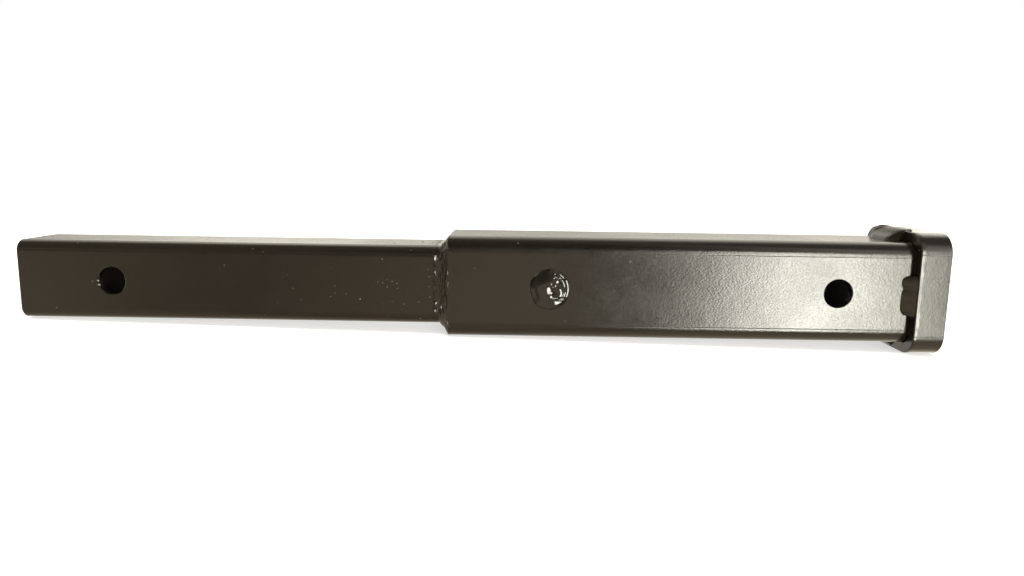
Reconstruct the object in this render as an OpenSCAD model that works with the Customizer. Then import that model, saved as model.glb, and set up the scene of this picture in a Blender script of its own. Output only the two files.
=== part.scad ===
// Hitch receiver extender: a square shank tube welded into a larger receiver tube,
// with a reinforcing collar bent round the receiver's mouth.
// Millimetres. The long axis is X, towards the mouth, and +Z is up. The origin is the
// centre of the shank's pin hole, on the axis that the two tubes share.

/* [Reach] */
// Distance between the shank's pin hole and the receiver's pin hole
pin_to_pin = 457.2; // [400:0.1:620]
// Length of the receiver tube, collar included
receiver_length = 308; // [220:0.5:380]
// Shank's free end to the middle of its pin hole
shank_pin_setback = 59.5; // [35:0.5:90]
// Receiver's mouth to the middle of its pin hole
receiver_pin_setback = 64.8; // [45:0.1:90]

/* [Receiver tube] */
// Outside width of the receiver tube
receiver_od = 63.5; // [60:0.1:70]
// Wall of the receiver tube
receiver_wall = 6.35; // [5:0.05:7.5]
// Outside corner radius of the receiver tube
receiver_corner_r = 9; // [8:0.1:12]
// Bevel on the inside edge of the mouth, where a shank enters
mouth_lead_in = 1.2; // [0.4:0.1:2]
// Bevel on the outside edge of the mouth
mouth_edge = 0.5; // [0.2:0.1:1]

/* [Shank tube] */
// Gap on each side between a shank and the socket
socket_clearance = 0.4; // [0.2:0.05:0.8]
// Wall of the shank tube
shank_wall = 4.8; // [3:0.1:6.3]
// Outside corner radius of the shank tube
shank_corner_r = 7; // [6.5:0.1:10]
// Bevel on the outside edge of the shank's free end
shank_end_edge = 0.8; // [0.3:0.1:1.5]
// Bevel on the other edges of the shank's ends
shank_deburr = 0.3; // [0.1:0.1:0.6]
// How far the shank runs on inside the receiver past the plug welds
shank_past_plug = 18.8; // [8:0.1:40]

/* [Pin holes] */
// Diameter of both pin holes, for a 5/8 inch pin
pin_hole_d = 17.5; // [12.5:0.1:20]
// Bevel round the outside edge of a pin hole
pin_hole_edge = 0.45; // [0.2:0.05:1]

/* [Plug welds] */
// Diameter of the holes that the plug welds fill
plug_hole_d = 25; // [18:0.1:30]
// Receiver's welded end to the middle of the plug welds
plug_setback = 63.7; // [40:0.1:90]
// Bevel round the outside edge of a plug hole
plug_hole_edge = 0.4; // [0.2:0.05:1]
// How deep the weld lies under the receiver's face at its rim
plug_rim_depth = 0.6; // [0.4:0.1:2]
// How much deeper the rim lies on its upper side
plug_rim_tilt = 0.8; // [0:0.1:1.5]
// How much the weld swells towards its middle
plug_swell = 0.4; // [0:0.1:1]
// Distance from the middle of the weld to the crater where the arc stopped
plug_crater_offset = 4.6; // [0:0.1:6]
// Radius of the crater
plug_crater_r = 4.3; // [3:0.1:6]
// Depth of the crater
plug_crater_depth = 1.2; // [0.3:0.1:2]
// Height of the rope of metal round the crater
plug_rope = 0.5; // [0:0.1:1]

/* [Weld at the junction] */
// Length of the weld along the shank, its toe included
fillet_leg = 9.5; // [7:0.1:14]
// Length of the slope from the shank up to the receiver's edge
fillet_slope = 6.4; // [4:0.1:6.5]
// How hollow the slope is, 1 where it is straight
fillet_hollow = 1.2; // [1:0.05:1.8]
// Height of the ragged toe on the shank
fillet_toe = 0.5; // [0.2:0.1:1.5]
// Length of the weld over the receiver's edge
fillet_lap = 1.6; // [0.5:0.1:3]
// Thickness of the weld over the receiver's edge
fillet_cap = 0.2; // [0.15:0.05:0.8]

/* [Collar] */
// Width of the collar's bar along the tube
collar_width = 19.05; // [12:0.05:30]
// Thickness of the collar's bar
collar_thickness = 6.35; // [4:0.05:10]
// Gap between the collar and the tube
collar_gap = 0.1; // [0.05:0.01:0.3]
// Inside radius of the collar's four bends
collar_bend_r = 7; // [4:0.1:8]
// Radius of the collar's outside edges
collar_edge_r = 0.6; // [0.5:0.1:1.8]

/* [Welds at the collar] */
// Length of the welds on the two sides
side_weld_length = 26; // [16:0.5:32]
// Length of the welds on the top and the bottom
top_weld_length = 29; // [16:0.5:34]
// Reach of a collar weld along the tube
collar_weld_leg = 7; // [4:0.1:10]
// How far a collar weld stays under the collar's outside face
collar_weld_drop = 0.3; // [0.1:0.1:2]
// How far its face swells out, as a share of its leg
collar_weld_swell = 0.15; // [0:0.01:0.25]

/* [Hidden] */
$fn = 72;

coat_black = [0.19, 0.17, 0.15];
coat_worn = [0.22, 0.2, 0.18];
weld_black = [0.14, 0.125, 0.11];

// Sections of the two tubes, as half widths from the shared axis
receiver_half = receiver_od / 2;
receiver_inner_r = receiver_corner_r - receiver_wall;
shank_half = receiver_half - receiver_wall - socket_clearance;
shank_inner_r = shank_corner_r - shank_wall;
// From the shank's face to the receiver's face: the height of the junction weld
step_height = receiver_half - shank_half;

// Stations along the axis
mouth_x = pin_to_pin + receiver_pin_setback;
junction_x = mouth_x - receiver_length;
plug_x = junction_x + plug_setback;
shank_start_x = -shank_pin_setback;
shank_end_x = plug_x + plug_hole_d / 2 + shank_past_plug;
collar_x = mouth_x - collar_width;

// A cutter reaches this far beyond the face that it cuts
cut_past = 1;
// A faceted weld stays this far inside the round hole that holds it
plug_side_gap = 0.02;

// A smooth, repeatable waver between -1 and 1, for hand-laid welds
function waver(i, seed) = sin(i * 61 + seed * 47) * cos(i * 23 + seed * 31);
// Blends from 0 to 1 as x goes from a to b
function ramp(x, a, b) = let(t = min(1, max(0, (x - a) / (b - a)))) t * t * (3 - 2 * t);
// A smooth hump of height 1 at x = middle
function hump(x, middle, width) = exp(-pow((x - middle) / width, 2));

// Faces of a skin over rings of points, each ring with n points.
// A closed skin joins its last ring to its first; an open one is capped at both ends.
function skin_faces(rings, n, closed) = concat(
  [for (i = [0:rings - (closed ? 1 : 2)], j = [0:n - 1])
    let(a = i * n, b = ((i + 1) % rings) * n, k = (j + 1) % n)
    each [[a + j, a + k, b + k], [a + j, b + k, b + j]]],
  closed ? [] : [for (j = [1:n - 2]) [0, j + 1, j]],
  closed ? [] : [for (j = [1:n - 2]) let(a = (rings - 1) * n) [a, a + j, a + j + 1]]
);

// A square tube or ring with its axis along X. The children are the wall's section:
// x is measured outwards from the centre of the corner bend, and y runs along the axis.
// Four straight sides are joined by four quarter bends, as the metal is formed.
module formed_square(corner_centre) {
  rotate([0, 90, 0])
    for (turn = [0:90:270])
      rotate(turn)
        translate([corner_centre, corner_centre, 0]) {
          rotate_extrude(angle = 90)
            children();
          rotate([90, 0, 0])
            linear_extrude(height = 2 * corner_centre)
              children();
        }
}

// The tool that cuts a hole through both side walls, with a bevel at each outside edge
module hole_cutter(radius, half_width, edge) {
  outer = half_width + cut_past;
  rotate([90, 0, 0])
    rotate_extrude()
      polygon([
        [0, -outer], [radius + edge + cut_past, -outer],
        [radius, edge - half_width], [radius, half_width - edge],
        [radius + edge + cut_past, outer], [0, outer]
      ]);
}

// Wall of the shank, cut square and bevelled at both ends
module shank_section() {
  length = shank_end_x - shank_start_x;
  inner = shank_inner_r;
  outer = shank_corner_r;
  polygon([
    [inner, shank_deburr], [inner + shank_deburr, 0],
    [outer - shank_end_edge, 0], [outer, shank_end_edge],
    [outer, length - shank_deburr], [outer - shank_deburr, length],
    [inner + shank_deburr, length], [inner, length - shank_deburr]
  ]);
}

module shank_tube() {
  color(coat_black)
    difference() {
      translate([shank_start_x, 0, 0])
        formed_square(shank_half - shank_corner_r)
          shank_section();
      hole_cutter(pin_hole_d / 2, shank_half, pin_hole_edge);
    }
}

// Wall of the receiver: square where the weld meets it, bevelled at the mouth
module receiver_section() {
  inner = receiver_inner_r;
  outer = receiver_corner_r;
  polygon([
    [inner, 0], [outer, 0],
    [outer, receiver_length - mouth_edge], [outer - mouth_edge, receiver_length],
    [inner + mouth_lead_in, receiver_length], [inner, receiver_length - mouth_lead_in]
  ]);
}

module receiver_tube() {
  color(coat_black)
    difference() {
      translate([junction_x, 0, 0])
        formed_square(receiver_half - receiver_corner_r)
          receiver_section();
      translate([pin_to_pin, 0, 0])
        hole_cutter(pin_hole_d / 2, receiver_half, pin_hole_edge);
      translate([plug_x, 0, 0])
        hole_cutter(plug_hole_d / 2, receiver_half, plug_hole_edge);
    }
}

// Bar of the collar, with its two outside edges rounded
module collar_section() {
  outer = collar_bend_r + collar_thickness;
  translate([collar_bend_r, 0])
    square([collar_thickness - collar_edge_r, collar_width]);
  translate([collar_bend_r, collar_edge_r])
    square([collar_thickness, collar_width - 2 * collar_edge_r]);
  for (y = [collar_edge_r, collar_width - collar_edge_r])
    translate([outer - collar_edge_r, y])
      circle(r = collar_edge_r);
}

module reinforcing_collar() {
  color(coat_worn)
    translate([collar_x, 0, 0])
      formed_square(receiver_half + collar_gap - collar_bend_r)
        collar_section();
}

// Stations of the junction weld round the rounded squares of the two tubes. Each is
// [corner direction, angle of the outward normal].
station_step = 2;
bend_steps = ceil((shank_corner_r + step_height / 2) * PI / 2 / station_step);
side_steps = ceil(2 * (shank_half - shank_corner_r) / station_step);
corner_signs = [[1, 1], [-1, 1], [-1, -1], [1, -1]];
function fillet_stations() = [
  for (q = [0:3]) each concat(
    [for (j = [0:bend_steps]) [corner_signs[q], 90 * (q + j / bend_steps)]],
    [for (j = [1:side_steps - 1])
      let(t = j / side_steps)
      [corner_signs[q] * (1 - t) + corner_signs[(q + 1) % 4] * t, 90 * (q + 1)]]
  )
];

// Point on a rounded square at a station. The chords between the stations of a bend
// clear its arc, so the weld lies on the tube and not in it.
bend_clear = 1 / cos(45 / bend_steps);
function rounded_square_point(station, half, r) =
  station[0] * (half - r) + r * bend_clear * [cos(station[1]), sin(station[1])];

// Point of the weld: a along the axis from the junction, share of the way from the
// shank's face to the receiver's face, and lift beyond that
function fillet_point(station, a, share, lift) =
  let(
    low = rounded_square_point(station, shank_half, shank_corner_r),
    high = rounded_square_point(station, receiver_half, receiver_corner_r),
    p = low + (high - low) * share + lift * [cos(station[1]), sin(station[1])]
  )
  [junction_x + a, p[0], p[1]];

// Shares by which the hand-laid weld varies along its length
leg_waver = 0.04;
slope_waver = 0.08;
toe_waver = 0.45;
lap_waver = 0.25;
// Above 1 this moves the crest of the toe away from the receiver
toe_lean = 2.5;
// Least thickness of the weld, in the hollow behind its toe
fillet_skin = 0.12;

// Section of the weld at station i: a ragged toe, a hollow slope up to the edge of the
// receiver, and a thin lap over that edge
section_steps = 12;
function fillet_ring(station, i) =
  let(
    leg = fillet_leg * (1 + leg_waver * waver(i, 1)),
    slope = fillet_slope * (1 + slope_waver * waver(i, 4)),
    toe = fillet_toe / step_height * (1 + toe_waver * waver(i, 2))
  )
  concat(
    [fillet_point(station, 0, 0, 0), fillet_point(station, -leg, 0, 0)],
    [for (k = [1:section_steps - 1])
      let(
        before = leg * (1 - k / section_steps),
        out = max(0, (before - slope) / (leg - slope)),
        share = pow(max(0, 1 - before / slope), fillet_hollow) + toe * sin(180 * pow(out, toe_lean))
      )
      fillet_point(station, -before, max(share, fillet_skin / step_height), 0)],
    [
      fillet_point(station, 0, 1, fillet_cap),
      fillet_point(station, fillet_lap / 2, 1, fillet_cap),
      fillet_point(station, fillet_lap * (1 + lap_waver * waver(i, 3)), 1, 0),
      fillet_point(station, 0, 1, 0)
    ]
  );

module shank_weld() {
  stations = fillet_stations();
  rings = [for (i = [0:len(stations) - 1]) fillet_ring(stations[i], i)];
  color(weld_black)
    polyhedron(
      points = [for (ring = rings) each ring],
      faces = skin_faces(len(rings), len(rings[0]), true),
      convexity = 6
    );
}

// Surface of a plug weld above the shank's face, at x, y from the middle of its hole:
// a swelling pool, the crater where the arc stopped, a rope of metal round most of the
// crater, and ripples outside that
plug_r = plug_hole_d / 2 - plug_side_gap;
crater_steepness = 1.3;
rope_width = 1;
ripple_pitch = 2.1;
ripple_height = 0.12;
function plug_height(x, y) =
  let(
    r = norm([x, y]) / plug_r,
    rim = plug_rim_depth + plug_rim_tilt * max(0, y / plug_r),
    rho = norm([x - plug_crater_offset, y]),
    crater = plug_crater_depth * hump(rho, 0, plug_crater_r / crater_steepness),
    rope = plug_rope * hump(rho, plug_crater_r, rope_width) * (1 - ramp(y - x, 0, plug_crater_r)),
    outside = ramp(rho, plug_crater_r, plug_crater_r + ripple_pitch) * ramp(x, 0, plug_r / 2),
    ripple = ripple_height * outside * cos(360 * rho / ripple_pitch)
  )
  step_height - rim + plug_swell * (1 - r * r) - crater + rope + ripple;

// A plug weld, standing on the plane z = 0 with its pool facing +Z
plug_rings = 13;
plug_spokes = 54;
module plug_weld() {
  spoke = [for (j = [0:plug_spokes - 1]) [cos(360 * j / plug_spokes), sin(360 * j / plug_spokes)]];
  top = [
    for (k = [plug_rings:-1:1], d = spoke)
      let(p = d * plug_r * k / plug_rings)
      [p[0], p[1], plug_height(p[0], p[1])]
  ];
  foot = [for (d = spoke) [plug_r * d[0], plug_r * d[1], 0]];
  rings = plug_rings + 1;
  middle = rings * plug_spokes;
  first = (rings - 1) * plug_spokes;
  polyhedron(
    points = concat(foot, top, [[0, 0, plug_height(0, 0)], [0, 0, 0]]),
    faces = concat(
      [for (i = [0:rings - 2], j = [0:plug_spokes - 1])
        let(a = i * plug_spokes, b = a + plug_spokes, k = (j + 1) % plug_spokes)
        each [[a + j, b + k, a + k], [a + j, b + j, b + k]]],
      [for (j = [0:plug_spokes - 1]) [first + j, middle, first + (j + 1) % plug_spokes]],
      [for (j = [0:plug_spokes - 1]) [(j + 1) % plug_spokes, middle + 1, j]]
    ),
    convexity = 6
  );
}

// On the wall that faces -Y, with the crater towards the mouth
module plug_weld_front() {
  color(weld_black)
    translate([plug_x, -shank_half, 0])
      rotate([90, 0, 0])
        plug_weld();
}

// The same weld on the far wall, with the extender turned over to lay it
module plug_weld_back() {
  color(weld_black)
    rotate([180, 0, 0])
      plug_weld_front();
}

// Section of a collar weld at a share s of its length: a full bead in the corner between
// the tube's face and the collar. Two lobes meet a third of the way from its far end.
bead_points = 8;
bead_step = 1.3;
end_taper = 0.86;
lobe_at = 0.66;
lobe_width = 0.05;
lobe_notch = 0.13;
bead_waver = 0.04;
collar_weld_rise = collar_gap + collar_thickness - collar_weld_drop;
function collar_weld_ring(s, i, length) =
  let(
    size = sqrt(1 - end_taper * pow(abs(2 * s - 1), 3)) * (1 + bead_waver * waver(i, 5)),
    leg = collar_weld_leg * size * (1 - lobe_notch * hump(s, lobe_at, lobe_width)),
    rise = collar_weld_rise * min(1, size),
    out = [-rise, leg] / norm([rise, leg])
  )
  concat(
    [[0, length * (s - 0.5), 0]],
    [for (j = [0:bead_points])
      let(
        t = j / bead_points,
        swell = collar_weld_swell * leg * sin(180 * t) * out
      )
      [swell[0] - leg * (1 - t), length * (s - 0.5), rise * t + swell[1]]]
  );

// A collar weld on a face that looks up +Z from the origin, against the plane x = 0
module collar_weld(length) {
  steps = ceil(length / bead_step);
  rings = [for (i = [0:steps]) collar_weld_ring(i / steps, i, length)];
  polyhedron(
    points = [for (ring = rings) each ring],
    faces = skin_faces(len(rings), len(rings[0]), false),
    convexity = 4
  );
}

// Puts a collar weld on one of the four faces, the top one turned about the axis
module on_face(turn) {
  rotate([turn, 0, 0])
    translate([collar_x, 0, receiver_half])
      children();
}

module collar_weld_top() {
  color(weld_black)
    on_face(0)
      collar_weld(top_weld_length);
}

module collar_weld_front() {
  color(weld_black)
    on_face(90)
      collar_weld(side_weld_length);
}

module collar_weld_bottom() {
  color(weld_black)
    on_face(180)
      collar_weld(top_weld_length);
}

module collar_weld_back() {
  color(weld_black)
    on_face(270)
      collar_weld(side_weld_length);
}

shank_tube();
receiver_tube();
reinforcing_collar();
shank_weld();
plug_weld_front();
plug_weld_back();
collar_weld_front();
collar_weld_back();
collar_weld_top();
collar_weld_bottom();
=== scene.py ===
"""Looks of a hitch receiver extender: black powder coat on welded square tube."""

import math
import random

import bpy
from mathutils import Matrix, Vector, noise


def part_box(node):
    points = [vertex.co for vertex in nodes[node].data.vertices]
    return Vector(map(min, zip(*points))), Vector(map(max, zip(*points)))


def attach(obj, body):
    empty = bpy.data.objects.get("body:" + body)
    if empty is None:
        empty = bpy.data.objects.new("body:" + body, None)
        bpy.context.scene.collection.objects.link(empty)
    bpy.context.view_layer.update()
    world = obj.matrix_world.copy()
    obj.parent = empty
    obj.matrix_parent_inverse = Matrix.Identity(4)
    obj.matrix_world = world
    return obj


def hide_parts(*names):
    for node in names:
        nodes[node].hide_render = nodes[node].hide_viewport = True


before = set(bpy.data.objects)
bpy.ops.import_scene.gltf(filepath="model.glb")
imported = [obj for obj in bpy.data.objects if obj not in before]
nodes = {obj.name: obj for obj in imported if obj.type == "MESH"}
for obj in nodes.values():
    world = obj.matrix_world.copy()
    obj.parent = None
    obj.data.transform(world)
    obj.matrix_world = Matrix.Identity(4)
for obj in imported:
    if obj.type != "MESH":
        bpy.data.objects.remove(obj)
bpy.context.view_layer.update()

# Geometry below is worked out in millimetres
MM = 0.001

# The photograph's frame, and the camera that gives its view
IMAGE_WIDTH = 1024
FOCAL_PIXELS = 760.0
CAMERA_PLACE = Vector((0.2577, -0.4993, 0.0769))
CAMERA_PITCH = math.radians(-9.29)
CAMERA_YAW = math.radians(-0.42)
CAMERA_ROLL = math.radians(0.82)
SENSOR_WIDTH = 36.0

# Light of the window that the coat mirrors, where 1 is white
WINDOW_STRENGTH = 26.0

# Colours of the coat: on the tubes, on the welds, on spatter (made light as a painted glint, in place of the
# light its small domes catch), where it is thin on an edge, and of dust
TUBE_COLOUR = (0.0068, 0.0054, 0.004)
WELD_COLOUR = (0.006, 0.005, 0.0038)
PAINTED_GLINT_SPATTER_COLOUR = (0.1, 0.09, 0.07)
EDGE_COLOUR = (0.03, 0.024, 0.018, 1.0)
SPECK_COLOUR = (0.13, 0.115, 0.09, 1.0)

# Corner radii of the tubes, which their boxes don't give
SHANK_CORNER = 7.0
RECEIVER_CORNER = 9.0

# Heights of the fine lines along the shank, the receiver and the collar, and their width
CREASES = (19.6, 22.9, 25.6)
CREASE_WIDTH = 0.45
# Stretch in from the collar's rear edge, over which the coat comes up to its full thickness
FAT_EDGE_WIDTH = 2.0

# Depths of the coat's relief, in metres
WAVE_DEPTH = 0.00004
CREASE_DEPTH = 0.0001
FAT_EDGE_DEPTH = 0.00014

# Scales of the coat's patterns, per metre
PEEL_SCALE = 700.0
GRAIN_SCALE = 1300.0
WAVE_SCALE = 110.0
CLOUD_SCALE = 38.0
SPECK_SCALE = 330.0
FAT_EDGE_SCALE = 150.0

# Radius in metres within which the coat counts as lying on an edge
EDGE_RADIUS = 0.0007
# Share of dusty places by distance along the tubes in metres
DUST = ((0.06, 0.0), (0.09, 0.4), (0.15, 0.15), (0.2, 0.3), (0.22, 0.02), (0.4, 0.0))

# The studio by direction in degrees: azimuth is 0 in front of the object and positive to its right
# The window: its strength by azimuth, and the height of its top by azimuth
WINDOW_ACROSS = ((14.5, 0.0), (19.3, 1.0), (22.0, 1.08), (25.4, 1.12), (28.3, 0.0))
WINDOW_TOP = ((19.0, 20.0), (24.2, 12.0), (27.2, -10.0))
# The room's light by azimuth below level, at level and overhead, and the haze by azimuth and by height
ROOM_BELOW = (
    (-75.0, 1.1), (-33.0, 1.15), (-23.0, 0.4), (-15.0, 0.75),
    (-9.0, 1.05), (0.0, 1.4), (9.0, 0.75), (20.0, 1.45),
)
ROOM_LEVEL = (
    (-75.0, 0.9), (-31.0, 0.6), (-23.0, 0.35), (-15.0, 0.45),
    (-8.0, 0.45), (0.0, 0.3), (9.0, 0.4), (30.0, 1.4),
)
ROOM_OVERHEAD = ((-20.0, 0.3), (-5.0, 0.06), (15.0, 0.03), (32.0, 0.3))
HAZE_ACROSS = ((26.0, 0.0), (30.0, 2.6), (36.0, 2.6), (44.0, 0.0))
HAZE_UP = ((-3.0, 0.0), (12.0, 1.0), (30.0, 1.0), (72.0, 0.15))
# The surround behind the object, by the sideways part of the direction
SURROUND = ((-0.6, 0.75), (-0.3, 1.5), (0.0, 0.95), (0.25, 1.15), (0.42, 1.35), (0.5, 2.6))
WARM_LIGHT = (1.0, 0.8, 0.55, 1.0)
PALE_LIGHT = (1.0, 0.95, 0.82, 1.0)
WINDOW_LIGHT = (1.0, 0.985, 0.88, 1.0)
WINDOW_EDGE_LIGHT = (1.0, 0.98, 0.72, 1.0)
WHITE = (1.0, 1.0, 1.0, 1.0)

# The lamp overhead: sides in metres, place and watts
LAMP_SIZE = (1.6, 1.2)
LAMP_PLACE = (0.2, -0.2, 1.6)
LAMP_POWER = 32.0

FLOOR_SIZE = 12
FLOOR_COLOUR = (0.8, 0.8, 0.8, 1.0)
SHARP_ANGLE = math.radians(50)
# Depth to which each fine piece reaches under the face that it stands on
SINK = 0.3


def millimetres(node):
    """Lowest and highest corner of a CAD node."""
    low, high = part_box(node)
    return low / MM, high / MM


_, shank_high = millimetres("shank_tube")
receiver_low, receiver_high = millimetres("receiver_tube")
collar_low, collar_high = millimetres("reinforcing_collar")
plug_low, plug_high = millimetres("plug_weld_front")

shank_half = shank_high.z
receiver_half = receiver_high.z
step_height = receiver_half - shank_half
junction_x = receiver_low.x
collar_x = collar_low.x
collar_rise = collar_high.z - receiver_half
plug_x = (plug_low.x + plug_high.x) / 2
plug_radius = (plug_high.x - plug_low.x) / 2


def make_camera():
    data = bpy.data.cameras.new("camera")
    data.sensor_width = SENSOR_WIDTH
    data.lens = SENSOR_WIDTH * FOCAL_PIXELS / IMAGE_WIDTH
    data.clip_start = 0.01
    camera = bpy.data.objects.new("camera", data)
    bpy.context.scene.collection.objects.link(camera)
    ahead = Vector((
        math.sin(CAMERA_YAW) * math.cos(CAMERA_PITCH),
        math.cos(CAMERA_YAW) * math.cos(CAMERA_PITCH),
        math.sin(CAMERA_PITCH),
    ))
    level = Vector((math.cos(CAMERA_YAW), -math.sin(CAMERA_YAW), 0))
    above = level.cross(ahead)
    right = level * math.cos(CAMERA_ROLL) + above * math.sin(CAMERA_ROLL)
    up = above * math.cos(CAMERA_ROLL) - level * math.sin(CAMERA_ROLL)
    turn = Matrix((right, up, -ahead)).transposed().to_4x4()
    camera.matrix_world = Matrix.Translation(CAMERA_PLACE) @ turn
    bpy.context.scene.camera = camera


class Nodes:
    """Short calls for building a node tree."""

    def __init__(self, tree):
        self.tree = tree
        tree.nodes.clear()

    def put(self, value, socket):
        if isinstance(value, bpy.types.NodeSocket):
            self.tree.links.new(value, socket)
        else:
            socket.default_value = value

    def add(self, kind, inputs=(), **settings):
        node = self.tree.nodes.new(kind)
        for name, value in settings.items():
            setattr(node, name, value)
        for key, value in dict(inputs).items():
            self.put(value, node.inputs[key])
        return node

    def math(self, operation, *values):
        return self.add("ShaderNodeMath", enumerate(values), operation=operation).outputs[0]

    def ramp(self, value, low, high, to_low=0.0, to_high=1.0, smooth=True):
        kind = "SMOOTHSTEP" if smooth else "LINEAR"
        node = self.add(
            "ShaderNodeMapRange",
            {"Value": value, "From Min": low, "From Max": high, "To Min": to_low, "To Max": to_high},
            interpolation_type=kind,
        )
        return node.outputs["Result"]

    def mix(self, share, a, b):
        node = self.add("ShaderNodeMix", {0: share, 6: a, 7: b}, data_type="RGBA")
        return node.outputs[2]

    def blend(self, a, b, share):
        """From a to b as the share goes from 0 to 1, for plain values."""
        return self.add("ShaderNodeMix", {0: share, 2: a, 3: b}, data_type="FLOAT").outputs[0]

    def curve(self, value, stops):
        """A smooth line through (value, level) stops, level outside them."""
        level = stops[0][1]
        for (low, before), (high, after) in zip(stops, stops[1:]):
            step = self.ramp(value, low, high, 0.0, after - before)
            level = self.math("ADD", level, step)
        return level


def window_light(n, azimuth, height):
    """A bright window, in front to the right."""
    across = n.curve(azimuth, WINDOW_ACROSS)
    rise = n.ramp(height, -33.0, -26.0)
    above = n.math("SUBTRACT", height, n.curve(azimuth, WINDOW_TOP))
    fall = n.ramp(above, 0.0, 7.0, 1.0, 0.0)
    fall = n.math("MAXIMUM", fall, n.ramp(above, 0.0, 40.0, 0.035, 0.0))
    strength = n.ramp(height, -16.0, -4.0, WINDOW_STRENGTH * 1.3, WINDOW_STRENGTH)
    window = n.math("MULTIPLY", n.math("MULTIPLY", across, n.math("MULTIPLY", rise, fall)), strength)
    sun = n.mix(n.ramp(azimuth, 24.0, 29.0), WINDOW_LIGHT, WINDOW_EDGE_LIGHT)
    return n.add("ShaderNodeBackground", {"Color": sun, "Strength": window})


def room_light(n, direction, azimuth, height):
    """The dim room in front, browner below level and darker overhead, and the pale surround behind."""
    x, y, _ = n.add("ShaderNodeSeparateXYZ", {"Vector": direction}).outputs
    below = n.math("MULTIPLY", n.curve(azimuth, ROOM_BELOW), n.ramp(height, -30.0, -14.0, 0.75, 1.0))
    front = n.blend(below, n.curve(azimuth, ROOM_LEVEL), n.ramp(height, -7.0, -1.0))
    front = n.blend(front, n.curve(azimuth, ROOM_OVERHEAD), n.ramp(height, 4.0, 34.0))
    # A haze above the window's right end
    haze = n.math("MULTIPLY", n.curve(azimuth, HAZE_ACROSS), n.curve(height, HAZE_UP))
    front = n.math("ADD", front, haze)
    # The surround, brighter higher up
    rear = n.math("MULTIPLY", n.curve(x, SURROUND), n.ramp(height, 12.0, 42.0, 1.0, 1.7))
    behind = n.ramp(y, 0.12, 0.66)
    level = n.blend(front, rear, behind)
    paler = n.math("MULTIPLY", n.ramp(azimuth, -10.0, 40.0), n.ramp(height, -36.0, -16.0))
    tint = n.mix(n.math("MAXIMUM", behind, paler), WARM_LIGHT, PALE_LIGHT)
    return n.add("ShaderNodeBackground", {"Color": tint, "Strength": level})


def make_world():
    """The studio that lights the object and shows in its coat, plain white to the camera."""
    world = bpy.data.worlds.new("studio")
    bpy.context.scene.world = world
    world.use_nodes = True
    n = Nodes(world.node_tree)
    direction = n.add("ShaderNodeTexCoord").outputs["Generated"]
    x, y, z = n.add("ShaderNodeSeparateXYZ", {"Vector": direction}).outputs
    degrees = 180 / math.pi
    azimuth = n.math("MULTIPLY", n.math("ARCTAN2", x, n.math("MULTIPLY", y, -1.0)), degrees)
    height = n.math("MULTIPLY", n.math("ARCSINE", z), degrees)
    room = room_light(n, direction, azimuth, height)
    window = window_light(n, azimuth, height)
    studio = n.add("ShaderNodeAddShader", {0: room.outputs[0], 1: window.outputs[0]})
    white = n.add("ShaderNodeBackground", {"Color": WHITE, "Strength": 1.0})
    seen = n.add("ShaderNodeLightPath").outputs["Is Camera Ray"]
    both = n.add("ShaderNodeMixShader", {0: seen, 1: studio.outputs[0], 2: white.outputs[0]})
    n.add("ShaderNodeOutputWorld", {"Surface": both.outputs[0]})


def crease_relief(n, place):
    """0 on the fine lines where the flats of the tubes and collar pass into their bends, 1 off them."""
    x, y, z = n.add("ShaderNodeSeparateXYZ", {0: place}).outputs
    shank, receiver, collar = (level * MM for level in CREASES)
    level = n.ramp(x, (junction_x - 0.1) * MM, junction_x * MM, shank, receiver)
    level = n.math("ADD", level, n.ramp(x, (collar_x - 0.1) * MM, collar_x * MM, 0.0, collar - receiver))
    off_y = n.math("ABSOLUTE", n.math("SUBTRACT", n.math("ABSOLUTE", y), level))
    off_z = n.math("ABSOLUTE", n.math("SUBTRACT", n.math("ABSOLUTE", z), level))
    return n.ramp(n.math("MINIMUM", off_y, off_z), 0.0, CREASE_WIDTH * MM)


def fat_edge(n, place):
    """Height of the coat near the collar's rear edge, where it is pulled thin in an uneven line."""
    x = n.add("ShaderNodeSeparateXYZ", {0: place}).outputs[0]
    wander = n.add("ShaderNodeTexNoise", {
        "Vector": place, "Scale": FAT_EDGE_SCALE, "Detail": 2.0,
    }).outputs["Fac"]
    start = n.math("ADD", collar_x * MM, n.ramp(wander, 0.3, 0.7, -0.2 * MM, 0.9 * MM))
    return n.ramp(n.math("SUBTRACT", x, start), 0.0, FAT_EDGE_WIDTH * MM, smooth=False)


def coat_relief(n, place, peel_height, creased, edged):
    """Normal of the coat: long waves, orange peel, and the creases or fat edge where asked for."""
    squeezed = n.add("ShaderNodeVectorMath", {0: place, 1: (1.0, 1.7, 1.7)}, operation="MULTIPLY").outputs[0]
    waves = n.add("ShaderNodeTexNoise", {"Vector": place, "Scale": WAVE_SCALE, "Detail": 1.0}).outputs["Fac"]
    peel = n.add("ShaderNodeTexNoise", {
        "Vector": squeezed, "Scale": PEEL_SCALE, "Detail": 1.5, "Roughness": 0.5,
    }).outputs["Fac"]
    layers = [(waves, WAVE_DEPTH), (peel, peel_height)]
    if creased:
        layers.append((crease_relief(n, place), CREASE_DEPTH))
    if edged:
        layers.append((fat_edge(n, place), FAT_EDGE_DEPTH))
    normal = None
    for height, depth in layers:
        inputs = {"Height": height, "Strength": 1.0, "Distance": depth}
        if normal is not None:
            inputs["Normal"] = normal
        normal = n.add("ShaderNodeBump", inputs).outputs[0]
    return normal


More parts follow.
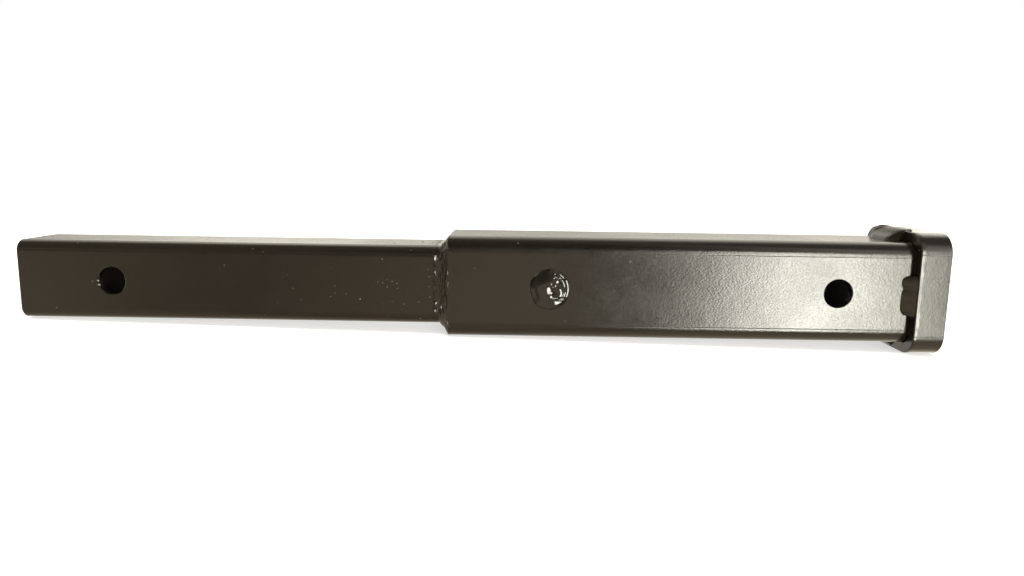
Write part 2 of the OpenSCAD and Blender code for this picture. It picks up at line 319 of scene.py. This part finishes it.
def coat_edges(n, cloud):
    """1 on the edges, found from where the rounded normal leaves the plain one, in patches."""
    plain = n.add("ShaderNodeNewGeometry").outputs["Normal"]
    rounded = n.add("ShaderNodeBevel", {"Radius": EDGE_RADIUS}, samples=4).outputs[0]
    facing = n.add("ShaderNodeVectorMath", {0: plain, 1: rounded}, operation="DOT_PRODUCT").outputs["Value"]
    return n.math("MULTIPLY", n.ramp(facing, 0.99, 0.8), n.ramp(cloud, 0.42, 0.62))


def coat_specks(n, place, cloud):
    """1 on specks of dust, most of them along the shank."""
    cells = n.add("ShaderNodeTexVoronoi", {"Vector": place, "Scale": SPECK_SCALE})
    pick = n.add("ShaderNodeSeparateColor", {0: cells.outputs["Color"]}).outputs[0]
    along = n.add("ShaderNodeSeparateXYZ", {0: place}).outputs[0]
    many = n.math("MULTIPLY", n.curve(along, DUST), n.ramp(cloud, 0.45, 0.6))
    picked = n.math("GREATER_THAN", pick, n.math("SUBTRACT", 0.985, many))
    return n.math("MULTIPLY", picked, n.ramp(cells.outputs["Distance"], 0.22, 0.08))


def coat_material(name, colour, roughness, peel_height, grain_depth, creased=False, edged=False):
    """Glossy black powder coat: orange peel, clouds, specks of dust and thin coat on the edges."""
    material = bpy.data.materials.new(name)
    material.use_nodes = True
    n = Nodes(material.node_tree)
    place = n.add("ShaderNodeTexCoord").outputs["Object"]
    grain = n.add("ShaderNodeTexNoise", {"Vector": place, "Scale": GRAIN_SCALE, "Detail": 1.0}).outputs["Fac"]
    cloud = n.add("ShaderNodeTexNoise", {"Vector": place, "Scale": CLOUD_SCALE, "Detail": 3.0}).outputs["Fac"]
    edge = coat_edges(n, cloud)
    speck = coat_specks(n, place, cloud)
    darker = tuple(c * 0.75 for c in colour) + (1.0,)
    lighter = tuple(c * 1.3 for c in colour) + (1.0,)
    tint = n.mix(cloud, darker, lighter)
    tint = n.mix(n.math("MULTIPLY", edge, 0.5), tint, EDGE_COLOUR)
    tint = n.mix(n.math("MULTIPLY", speck, 0.55), tint, SPECK_COLOUR)
    rough = n.ramp(cloud, 0.3, 0.7, roughness - 0.015, roughness + 0.025)
    rough = n.math("ADD", rough, n.ramp(grain, 0.38, 0.66, -0.25 * grain_depth, grain_depth))
    rough = n.math("ADD", rough, n.math("MULTIPLY", n.math("ADD", edge, speck), 0.12))
    normal = coat_relief(n, place, peel_height, creased, edged)
    shader = n.add("ShaderNodeBsdfPrincipled", {
        "Base Color": tint, "Roughness": rough, "Normal": normal, "IOR": 1.5,
    })
    n.add("ShaderNodeOutputMaterial", {"Surface": shader.outputs[0]})
    return material


def make_floor():
    """A pale floor under the collar and the junction weld, near white to the camera."""
    collar_foot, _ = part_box("reinforcing_collar")
    weld_foot, weld_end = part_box("shank_weld")
    slope = (collar_foot.z - weld_foot.z) / (collar_foot.x - weld_end.x)
    bpy.ops.mesh.primitive_plane_add(size=FLOOR_SIZE)
    floor = bpy.context.object
    floor.name = "floor"
    floor.rotation_euler = (0, -math.atan(slope), 0)
    floor.location = (collar_foot.x, 0, collar_foot.z)
    material = bpy.data.materials.new("floor")
    material.use_nodes = True
    n = Nodes(material.node_tree)
    seen = n.add("ShaderNodeLightPath").outputs["Is Camera Ray"]
    place = n.add("ShaderNodeTexCoord").outputs["Object"]
    away = n.add("ShaderNodeVectorMath", {0: place}, operation="LENGTH").outputs["Value"]
    plain = n.add("ShaderNodeBsdfDiffuse", {"Color": FLOOR_COLOUR})
    strength = n.math("MULTIPLY", seen, n.ramp(away, 0.7, 1.6, 0.62, 1.0))
    glow = n.add("ShaderNodeEmission", {"Strength": strength})
    both = n.add("ShaderNodeAddShader", {0: plain.outputs[0], 1: glow.outputs[0]})
    n.add("ShaderNodeOutputMaterial", {"Surface": both.outputs[0]})
    floor.data.materials.append(material)
    floor.visible_glossy = False


def make_lamp():
    data = bpy.data.lights.new("overhead", "AREA")
    data.shape = "RECTANGLE"
    data.size, data.size_y = LAMP_SIZE
    data.energy = LAMP_POWER
    lamp = bpy.data.objects.new("overhead", data)
    bpy.context.scene.collection.objects.link(lamp)
    lamp.location = LAMP_PLACE
    lamp.visible_glossy = False


def make_piece(name, points, faces, finish, replaced=None):
    """A piece of the object from points in millimetres, smooth except at its sharp edges."""
    mesh = bpy.data.meshes.new(name)
    mesh.from_pydata([Vector(point) * MM for point in points], [], faces)
    mesh.shade_smooth()
    mesh.set_sharp_from_angle(angle=SHARP_ANGLE)
    mesh.materials.append(finish)
    piece = bpy.data.objects.new(name, mesh)
    bpy.context.scene.collection.objects.link(piece)
    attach(piece, "root")
    if replaced:
        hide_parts(replaced)
    return piece


def skin(rings, closed):
    """Points and faces of a surface over rings of points, all rings of one length."""
    count = len(rings[0])
    faces = []
    for i in range(len(rings) if closed else len(rings) - 1):
        a = i * count
        b = (i + 1) % len(rings) * count
        for j in range(count):
            k = (j + 1) % count
            faces.append((a + j, a + k, b + k, b + j))
    if not closed:
        last = (len(rings) - 1) * count
        faces.append(tuple(reversed(range(count))))
        faces.append(tuple(last + j for j in range(count)))
    return [point for ring in rings for point in ring], faces


def bump(x, centre, width):
    """A smooth hump of height 1."""
    return math.exp(-((x - centre) / width) ** 2)


def clamp(x):
    return min(1.0, max(0.0, x))


def ease(x):
    """0 below 0 and 1 above 1, with a smooth rise between."""
    x = clamp(x)
    return x * x * (3 - 2 * x)


# Weld at the junction: a low toe on the shank, a slope up to the receiver and a lap over its end

TOE_START = 9.9
TOE_CREST = 9.0
TOE_END = 6.8
LAP = 1.8
LAP_HEIGHT = 0.06
# Blobs of the toe on the front: height on the face, half length, height of the blob
FRONT_BLOBS = (
    (20.8, 1.2, 0.3), (17.3, 2.0, 0.38), (11.6, 1.0, 0.28), (8.0, 2.0, 0.34),
    (-11.2, 1.4, 0.34), (-15.6, 1.2, 0.28),
)
# Steps of the weld's section up its slope and over its lap, and steps round a bend and along a side
SLOPE_STEPS = 37
LAP_STEPS = 8
BEND_STEPS = 28
SIDE_STEPS = 120


def weld_height(before, y, z):
    """Height of the weld over the shank's face, at a distance before the junction."""
    place = Vector((before, y * 0.16, z * 0.16))
    wander = noise.noise(place * 0.5 + Vector((7.0, 0, 0)))
    leg = 6.5 + 0.5 * noise.noise(Vector((3.0, y * 0.08, z * 0.08)))
    slope = step_height * max(0.0, 1 - before / leg) ** 1.12
    toe = 0.12 + 0.4 * max(0.0, noise.noise(Vector((9.0, y * 0.3, z * 0.3))))
    if y < 0:
        toe = 0.06 + sum(high * bump(z, middle, half) for middle, half, high in FRONT_BLOBS)
    lumps = 0.22 * noise.noise(Vector((11.0, y * 0.8, z * 0.8)))
    toe += lumps + 0.14 * noise.noise(Vector((17.0, y * 1.9, z * 1.9)))
    crest = TOE_CREST + 0.35 * noise.noise(Vector((5.0, y * 0.35, z * 0.35)))
    crest += 0.3 * noise.noise(Vector((23.0, y * 1.1, z * 1.1)))
    outer = clamp((TOE_START - before) / (TOE_START - crest))
    inner = clamp((before - TOE_END) / (crest - TOE_END))
    bead = toe * math.sin(math.pi / 2 * outer) * inner
    body = clamp(slope / 1.2)
    streaks = 0.11 * math.sin(2 * math.pi * (before / 1.9 + 1.1 * wander))
    streaks += 0.16 * bump(before, 0.3 + 0.3 * wander, 0.35)
    rough = 0.3 * noise.noise(place * 1.2) + 0.1 * noise.noise(place * 3.2)
    rough += 0.5 * noise.noise(Vector((before * 0.45, y * 0.35, z * 0.35)))
    return slope + bead - streaks * body + rough * clamp(slope + bead)


def junction_stations(bend_steps, side_steps):
    """Places round the tubes: the corner's direction, and the angle of the outward normal."""
    corners = (Vector((1, 1)), Vector((-1, 1)), Vector((-1, -1)), Vector((1, -1)))
    for q in range(4):
        for j in range(bend_steps):
            yield corners[q], math.pi / 2 * (q + j / bend_steps)
        for j in range(side_steps):
            yield corners[q].lerp(corners[(q + 1) % 4], j / side_steps), math.pi / 2 * (q + 1)


def make_junction_weld(finish):
    rings = []
    for corner, angle in junction_stations(BEND_STEPS, SIDE_STEPS):
        out = Vector((math.cos(angle), math.sin(angle)))
        low = corner * (shank_half - SHANK_CORNER) + out * SHANK_CORNER
        high = corner * (receiver_half - RECEIVER_CORNER) + out * RECEIVER_CORNER
        foot = low - out * SINK
        ring = [(junction_x, *foot), (junction_x - TOE_START, *foot)]
        for j in range(SLOPE_STEPS + 1):
            before = TOE_START * (1 - j / SLOPE_STEPS)
            share = weld_height(before, low.x, low.y) / step_height
            ring.append((junction_x - before, *low.lerp(high, share)))
        lap = LAP * (1 + 0.3 * noise.noise(Vector((1.0, high.x * 0.2, high.y * 0.2))))
        for j in range(1, LAP_STEPS + 1):
            past = lap * j / LAP_STEPS
            ring.append((junction_x + past, *(high + out * LAP_HEIGHT)))
        ring.append((junction_x + lap, *(high - out * SINK)))
        rings.append(ring)
    points, faces = skin(rings, True)
    make_piece("junction_bead", points, faces, finish, "shank_weld")


# Plug welds: one side falls away in steps; the other holds a crater, a rope of metal round it and a last pass

# Steps down towards the rim: radius, width, height, from and to in degrees
STEPS = ((11.8, 1.3, 0.19, 160, 210), (8.4, 2.2, 0.33, 165, 208))
# Places that lean towards +x: middle, half widths, turn in degrees
LEANING_SPOTS = (
    (-0.3, -1.2, 1.45, 2.7, 8), (1.2, -2.6, 0.9, 1.0, 0), (1.2, -5.0, 0.7, 0.9, 0), (3.3, 9.4, 0.6, 0.4, 0),
    (2.7, 6.8, 0.8, 0.5, 0), (6.9, 6.5, 1.5, 0.6, -25), (4.9, 4.5, 0.8, 0.9, 0), (1.2, 3.0, 0.4, 0.5, 0),
    (3.7, 1.9, 0.4, 0.7, 0), (2.2, 1.2, 0.5, 0.3, 0),
)
# Leaning bands: middle, radius, half width, from and to in degrees, soft stretch
LEANING_BANDS = (
    (3.8, -2.5, 3.65, 0.5, -140, 32, 18), (2.9, -2.4, 6.5, 1.3, -80, -34, 14),
    (0, 0, 11.7, 0.35, -24, 22, 12), (0, 0, 10.3, 0.3, -36, -14, 8),
    (0, 0, 11.2, 0.22, 38, 52, 8), (0, 0, 9.3, 0.25, -34, -20, 8),
    (0, 0, 9.6, 0.25, 14, 44, 12), (0, 0, 8.4, 0.2, 50, 66, 8),
)
# Slope of a leaning place
LEAN = 0.16
# Length in which the surface comes back after a leaning place
RETURN_LENGTH = 1.5
# Where the leaning places begin, the table's steps along x and y, and its half width
LEAN_FROM = -3.0
LEAN_STEP = 0.1
LEAN_ROW = 0.2
PLUG_REACH = 13
PLUG_RINGS = 72
PLUG_SPOKES = 216


def arc(angle, low, high, soft):
    """1 between two directions in degrees, fading over a soft stretch beyond each."""
    off = abs((angle - (low + high) / 2 + 180) % 360 - 180)
    return ease(((high - low) / 2 + soft - off) / soft)


def leaning(x, y):
    """1 where the weld leans and 0 elsewhere, with soft edges."""
    best = 0.0
    for mx, my, half_x, half_y, turn in LEANING_SPOTS:
        c, s = math.cos(math.radians(turn)), math.sin(math.radians(turn))
        u, v = (x - mx) * c + (y - my) * s, (y - my) * c - (x - mx) * s
        best = max(best, ease(1.5 - math.hypot(u / half_x, v / half_y)))
    for mx, my, radius, half, low, high, soft in LEANING_BANDS:
        across = ease(1.5 - abs(math.hypot(x - mx, y - my) - radius) / half)
        if across > best:
            best = max(best, across * arc(math.degrees(math.atan2(y - my, x - mx)), low, high, soft))
    return best


def lean_rows():
    """Height from the leaning places, row by row up the weld, built up along x."""
    rows = []
    for i in range(round(2 * PLUG_REACH / LEAN_ROW) + 1):
        height, row = 0.0, []
        for j in range(round((PLUG_REACH - LEAN_FROM) / LEAN_STEP) + 1):
            share = leaning(LEAN_FROM + LEAN_STEP * j, LEAN_ROW * i - PLUG_REACH)
            height -= LEAN_STEP * (LEAN * share + (1 - share) * height / RETURN_LENGTH)
            row.append(height)
        rows.append(row)
    return rows


LEAN_ROWS = lean_rows()


def lean_height(x, y):
    if x < LEAN_FROM:
        return 0.0
    u, v = (x - LEAN_FROM) / LEAN_STEP, (y + PLUG_REACH) / LEAN_ROW
    i, j = int(v), int(u)
    u, v = u - j, v - i
    below = LEAN_ROWS[i][j] * (1 - u) + LEAN_ROWS[i][j + 1] * u
    above = LEAN_ROWS[i + 1][j] * (1 - u) + LEAN_ROWS[i + 1][j + 1] * u
    return below * (1 - v) + above * v


def plug_depth(x, y):
    """Height of a plug weld against the receiver's face, at x, y from the middle of its hole."""
    r, angle = math.hypot(x, y), math.degrees(math.atan2(y, x))
    height = -0.5 + 0.25 * (1 - (r / plug_radius) ** 2) + lean_height(x, y)
    height -= 2.4 * ease((0.93 * y - 0.37 * x - 4.0) / 8.5) * ease((3.0 - x) / 5)
    for radius, width, fall, low, high in STEPS:
        height -= fall * ease((r - radius) / width + 0.5) * arc(angle, low, high, 25)
    rough = 0.012 * noise.noise(Vector((x * 0.9, y * 0.9, 2.0))) * ease((x + 1) / 4)
    return height + rough + 0.04 * noise.noise(Vector((x * 0.3, y * 0.3, 8.0)))


def make_plug_weld(name, replaced, turn, swing, finish):
    """A plug weld turned to its side of the tube, its pool swung round in the hole."""
    spin = Matrix.Rotation(turn, 3, "X")
    middle = Vector((plug_x, 0, 0))
    points = []
    for k in range(PLUG_RINGS, -1, -1):
        for j in range(PLUG_SPOKES):
            angle = 2 * math.pi * j / PLUG_SPOKES
            r = plug_radius * max(k, 0.02) / PLUG_RINGS
            x, y = r * math.cos(angle), r * math.sin(angle)
            depth = plug_depth(r * math.cos(angle - swing), r * math.sin(angle - swing))
            points.append(middle + spin @ Vector((x, y, receiver_half + depth)))
    foot = []
    for j in range(PLUG_SPOKES):
        angle = 2 * math.pi * j / PLUG_SPOKES
        x, y = plug_radius * math.cos(angle), plug_radius * math.sin(angle)
        foot.append(middle + spin @ Vector((x, y, shank_half)))
    rings = [foot] + [points[i:i + PLUG_SPOKES] for i in range(0, len(points), PLUG_SPOKES)]
    points, faces = skin(rings, False)
    make_piece(name, points, faces, finish, replaced)


# Welds behind the collar: lobes of bead that flow into each other, softer with a lower power

BLEND = 5
FULLNESS = 2.3
COLLAR_WELD_STEPS = 110
SECTION_STEPS = 28
# Each lobe: middle, half length, squareness, reach, bulge, fatness, height over the collar
FRONT_LOBES = ((7.5, 4.7, 3.0, 7.2, 0.05, 0.0, 0.0), (-4.1, 9.6, 5.0, 7.0, 0.05, 0.0, 0.0))
TOP_LOBES = ((13.4, 4.2, 2.2, 8.9, 0.04, 1.0, 1.6), (-1.6, 14.4, 9.0, 10.3, 0.0, 0.7, 1.3))
BACK_LOBES = ((0.5, 13.0, 4.0, 7.0, 0.16, 0.0, 0.0),)
BOTTOM_LOBES = ((-1.0, 13.0, 3.5, 6.6, 0.16, 0.0, 0.0),)


def lobe(run, middle, half, power):
    """Rounded outline of a stretch of bead: 1 in its middle and 0 at its ends."""
    return math.sqrt(max(0.0, 1 - abs((run - middle) / half) ** power))


def collar_ring(run, lobes, ripple):
    """Section of a collar weld: along the tube, run, and height over the receiver."""
    shares = [(reach * lobe(run, middle, half, power)) ** BLEND for middle, half, power, reach, *_ in lobes]
    leg = sum(shares) ** (1 / BLEND)
    total = max(sum(shares), 1e-9)
    bulge, fat, crown = (
        sum(share * each[k] for share, each in zip(shares, lobes)) / total for k in (4, 5, 6)
    )
    full = clamp(leg / 4.0)
    rise = (collar_rise + 0.08 + crown) * full ** 0.6
    lap = (1.5 + crown) * clamp((full - 0.8) / 0.2)
    ring = [(0.5, -SINK), (-leg, -SINK)]
    for j in range(SECTION_STEPS + 1):
        t = j / SECTION_STEPS
        swell = bulge * leg * math.sin(math.pi * t)
        swell += ripple * math.sin(2 * math.pi * (run / 2.3 + 0.8 * t)) * math.sin(math.pi * t)
        swell += 0.1 * noise.noise(Vector((run * 0.35, t * 2, rise))) * math.sin(math.pi * t)
        share = t + ((1 - (1 - t) ** FULLNESS) ** (1 / FULLNESS) - t) * fat
        x = -leg + (leg + lap) * t
        ring.append((x - 0.6 * swell, rise * share + 0.7 * swell))
    ring.append((lap + 0.7 * crown, rise - 0.3 * crown))
    ring.append((lap + 1.1 * crown, rise - 0.7 * crown))
    ring.append((lap + 1.2 * crown + 0.3, rise - crown - 0.8))
    return [(x, run, h) for x, h in ring]


def make_collar_weld(name, replaced, turn, lobes, ripple, finish):
    """A weld behind the collar, turned to its side of the tube, with stations closer at its ends."""
    low = min(middle - half for middle, half, *_ in lobes)
    high = max(middle + half for middle, half, *_ in lobes)
    spin = Matrix.Rotation(turn, 3, "X")
    base = Vector((collar_x, 0, receiver_half))
    rings = []
    for i in range(COLLAR_WELD_STEPS + 1):
        run = low + (high - low) * (0.5 - 0.5 * math.cos(math.pi * i / COLLAR_WELD_STEPS))
        ring = collar_ring(run, lobes, ripple)
        rings.append([spin @ (base + Vector(point)) for point in ring])
    points, faces = skin(rings, False)
    make_piece(name, points, faces, finish, replaced)


# Spatter

# Places on the front of the shank, the receiver and the collar: along the tubes, height, radius
SHANK_SPATTER = (
    (200.9, 10.5, 0.45), (201.7, 5.8, 0.4), (201.7, -0.5, 0.4), (202.3, -7.3, 0.45), (120.2, -10.5, 0.35),
    (142.0, -5.7, 0.35), (148.9, -6.2, 0.35), (157.8, -9.3, 0.6), (185.7, -12.1, 0.4), (195.3, -10.6, 0.4),
    (195.9, -21.0, 0.4), (175.1, 3.2, 0.35),
)
RECEIVER_SPATTER = (
    (458.2, -15.4, 0.4), (473.0, -13.9, 0.4), (343.6, 22.0, 0.35), (347.4, -21.0, 0.4), (231.1, 12.6, 0.4),
)
COLLAR_SPATTER = ((515.3, 11.8, 0.4), (504.8, -10.8, 0.35))
# A dome of spatter: its sides and levels, its height over its radius, and how deep it sits
DOME_SIDES = 10
DOME_LEVELS = 4
DOME_RISE = 0.75
DOME_SINK = 0.04
# Domes on each of the other sides of the shank
SPATTER_PER_SIDE = 9

# Burr at the pin hole: its stretch of the rim in degrees, its crest's radius, its height, the fall towards
# the hole and the width of that fall
BURR_FROM = 158
BURR_TO = 206
BURR_RADIUS = 9.5
BURR_HEIGHT = 0.5
BURR_SLOPE = 0.59
BURR_WIDTH = 1.35
BURR_STEPS = 60


def bead_of_spatter(middle, turn, radius, points, faces):
    """Adds a low dome that stands on a face turned round the tubes' axis."""
    spin = Matrix.Rotation(turn, 3, "X")
    first = len(points)
    for k in range(DOME_LEVELS):
        lean = math.pi / 2 * k / DOME_LEVELS
        for j in range(DOME_SIDES):
            angle = 2 * math.pi * j / DOME_SIDES
            flat = Vector((math.cos(angle), math.sin(angle), 0)) * math.cos(lean)
            off = flat + Vector((0, 0, DOME_RISE * math.sin(lean)))
            points.append(spin @ (middle + off * radius - Vector((0, 0, DOME_SINK))))
    points.append(spin @ (middle + Vector((0, 0, DOME_RISE * radius - DOME_SINK))))
    for k in range(DOME_LEVELS - 1):
        for j in range(DOME_SIDES):
            a = first + k * DOME_SIDES + j
            b = first + k * DOME_SIDES + (j + 1) % DOME_SIDES
            faces.append((a, b, b + DOME_SIDES, a + DOME_SIDES))
    last = first + (DOME_LEVELS - 1) * DOME_SIDES
    for j in range(DOME_SIDES):
        faces.append((last + j, last + (j + 1) % DOME_SIDES, len(points) - 1))
    faces.append(tuple(first + j for j in reversed(range(DOME_SIDES))))


def make_burr(finish):
    """A ragged ridge of coat at the left edge of the shank's pin hole, which falls towards the hole."""
    front = Matrix.Rotation(math.pi / 2, 3, "X")
    rings = []
    for i in range(BURR_STEPS + 1):
        angle = math.radians(BURR_FROM + (BURR_TO - BURR_FROM) * i / BURR_STEPS)
        high = BURR_HEIGHT * ease(3 * i / BURR_STEPS) * ease(3 - 3 * i / BURR_STEPS)
        high *= 1 + 0.5 * noise.noise(Vector((i * 0.35, 4.0, 0)))
        crest = BURR_RADIUS + 0.3 * noise.noise(Vector((i * 0.22, 9.0, 0)))
        inner = crest - BURR_WIDTH
        teeth = (bump(math.degrees(angle), 180, 9), bump(math.degrees(angle), 198, 8))
        fall = BURR_SLOPE * max(0.55, *teeth)
        section = (
            (crest + 0.9, -0.1), (crest + 0.5, 0.45 * high), (crest + 0.15, 0.95 * high), (crest - 0.1, high),
            (crest - 0.7, high - 0.5 * fall), (inner, high - fall), (inner + 0.1, -0.7), (crest + 0.5, -0.9),
        )
        ring = []
        for r, h in section:
            ring.append(front @ Vector((r * math.cos(angle), r * math.sin(angle), shank_half + h)))
        rings.append(ring)
    points, faces = skin(rings, False)
    make_piece("pin_hole_burr", points, faces, finish)


def make_spatter(finish):
    points, faces = [], []
    front = math.pi / 2
    sides = ((SHANK_SPATTER, shank_half), (RECEIVER_SPATTER, receiver_half), (COLLAR_SPATTER, collar_high.z))
    for places, face in sides:
        for x, z, radius in places:
            bead_of_spatter(Vector((x, z, face)), front, radius, points, faces)
    pick = random.Random(11)
    for turn in (0.0, -front, math.pi):
        for _ in range(SPATTER_PER_SIDE):
            x = junction_x - 11 - 40 * pick.random() ** 2
            run = pick.uniform(-0.75, 0.75) * (shank_half - SHANK_CORNER)
            bead_of_spatter(Vector((x, run, shank_half)), turn, pick.uniform(0.3, 0.5), points, faces)
    make_piece("spatter", points, faces, finish)


make_camera()
make_world()
make_floor()
make_lamp()

tube_coat = coat_material("tube_coat", TUBE_COLOUR, 0.19, 0.000055, 0.055, creased=True)
collar_coat = coat_material("collar_coat", TUBE_COLOUR, 0.19, 0.000035, 0.025, creased=True, edged=True)
weld_coat = coat_material("weld_coat", WELD_COLOUR, 0.16, 0.00005, 0.02)
for name, node in nodes.items():
    finish = weld_coat if "weld" in name else collar_coat if "collar" in name else tube_coat
    node.data.materials.clear()
    node.data.materials.append(finish)

FRONT = math.pi / 2
make_junction_weld(weld_coat)
make_plug_weld("plug_bead_front", "plug_weld_front", FRONT, 0.0, weld_coat)
make_plug_weld("plug_bead_back", "plug_weld_back", -FRONT, 2.5, weld_coat)
make_collar_weld("collar_bead_front", "collar_weld_front", FRONT, FRONT_LOBES, 0.0, weld_coat)
make_collar_weld("collar_bead_top", "collar_weld_top", 0, TOP_LOBES, 0.28, weld_coat)
make_collar_weld("collar_bead_back", "collar_weld_back", -FRONT, BACK_LOBES, 0.1, weld_coat)
make_collar_weld("collar_bead_bottom", "collar_weld_bottom", math.pi, BOTTOM_LOBES, 0.1, weld_coat)
make_burr(weld_coat)
# The spatter's coat is light brown-grey: a painted glint on the domes, not the colour of the black coat over
# them
make_spatter(coat_material("spatter_coat_painted_glint", PAINTED_GLINT_SPATTER_COLOUR, 0.25, 0.00005, 0.02))

bpy.context.scene.view_settings.view_transform = "Standard"
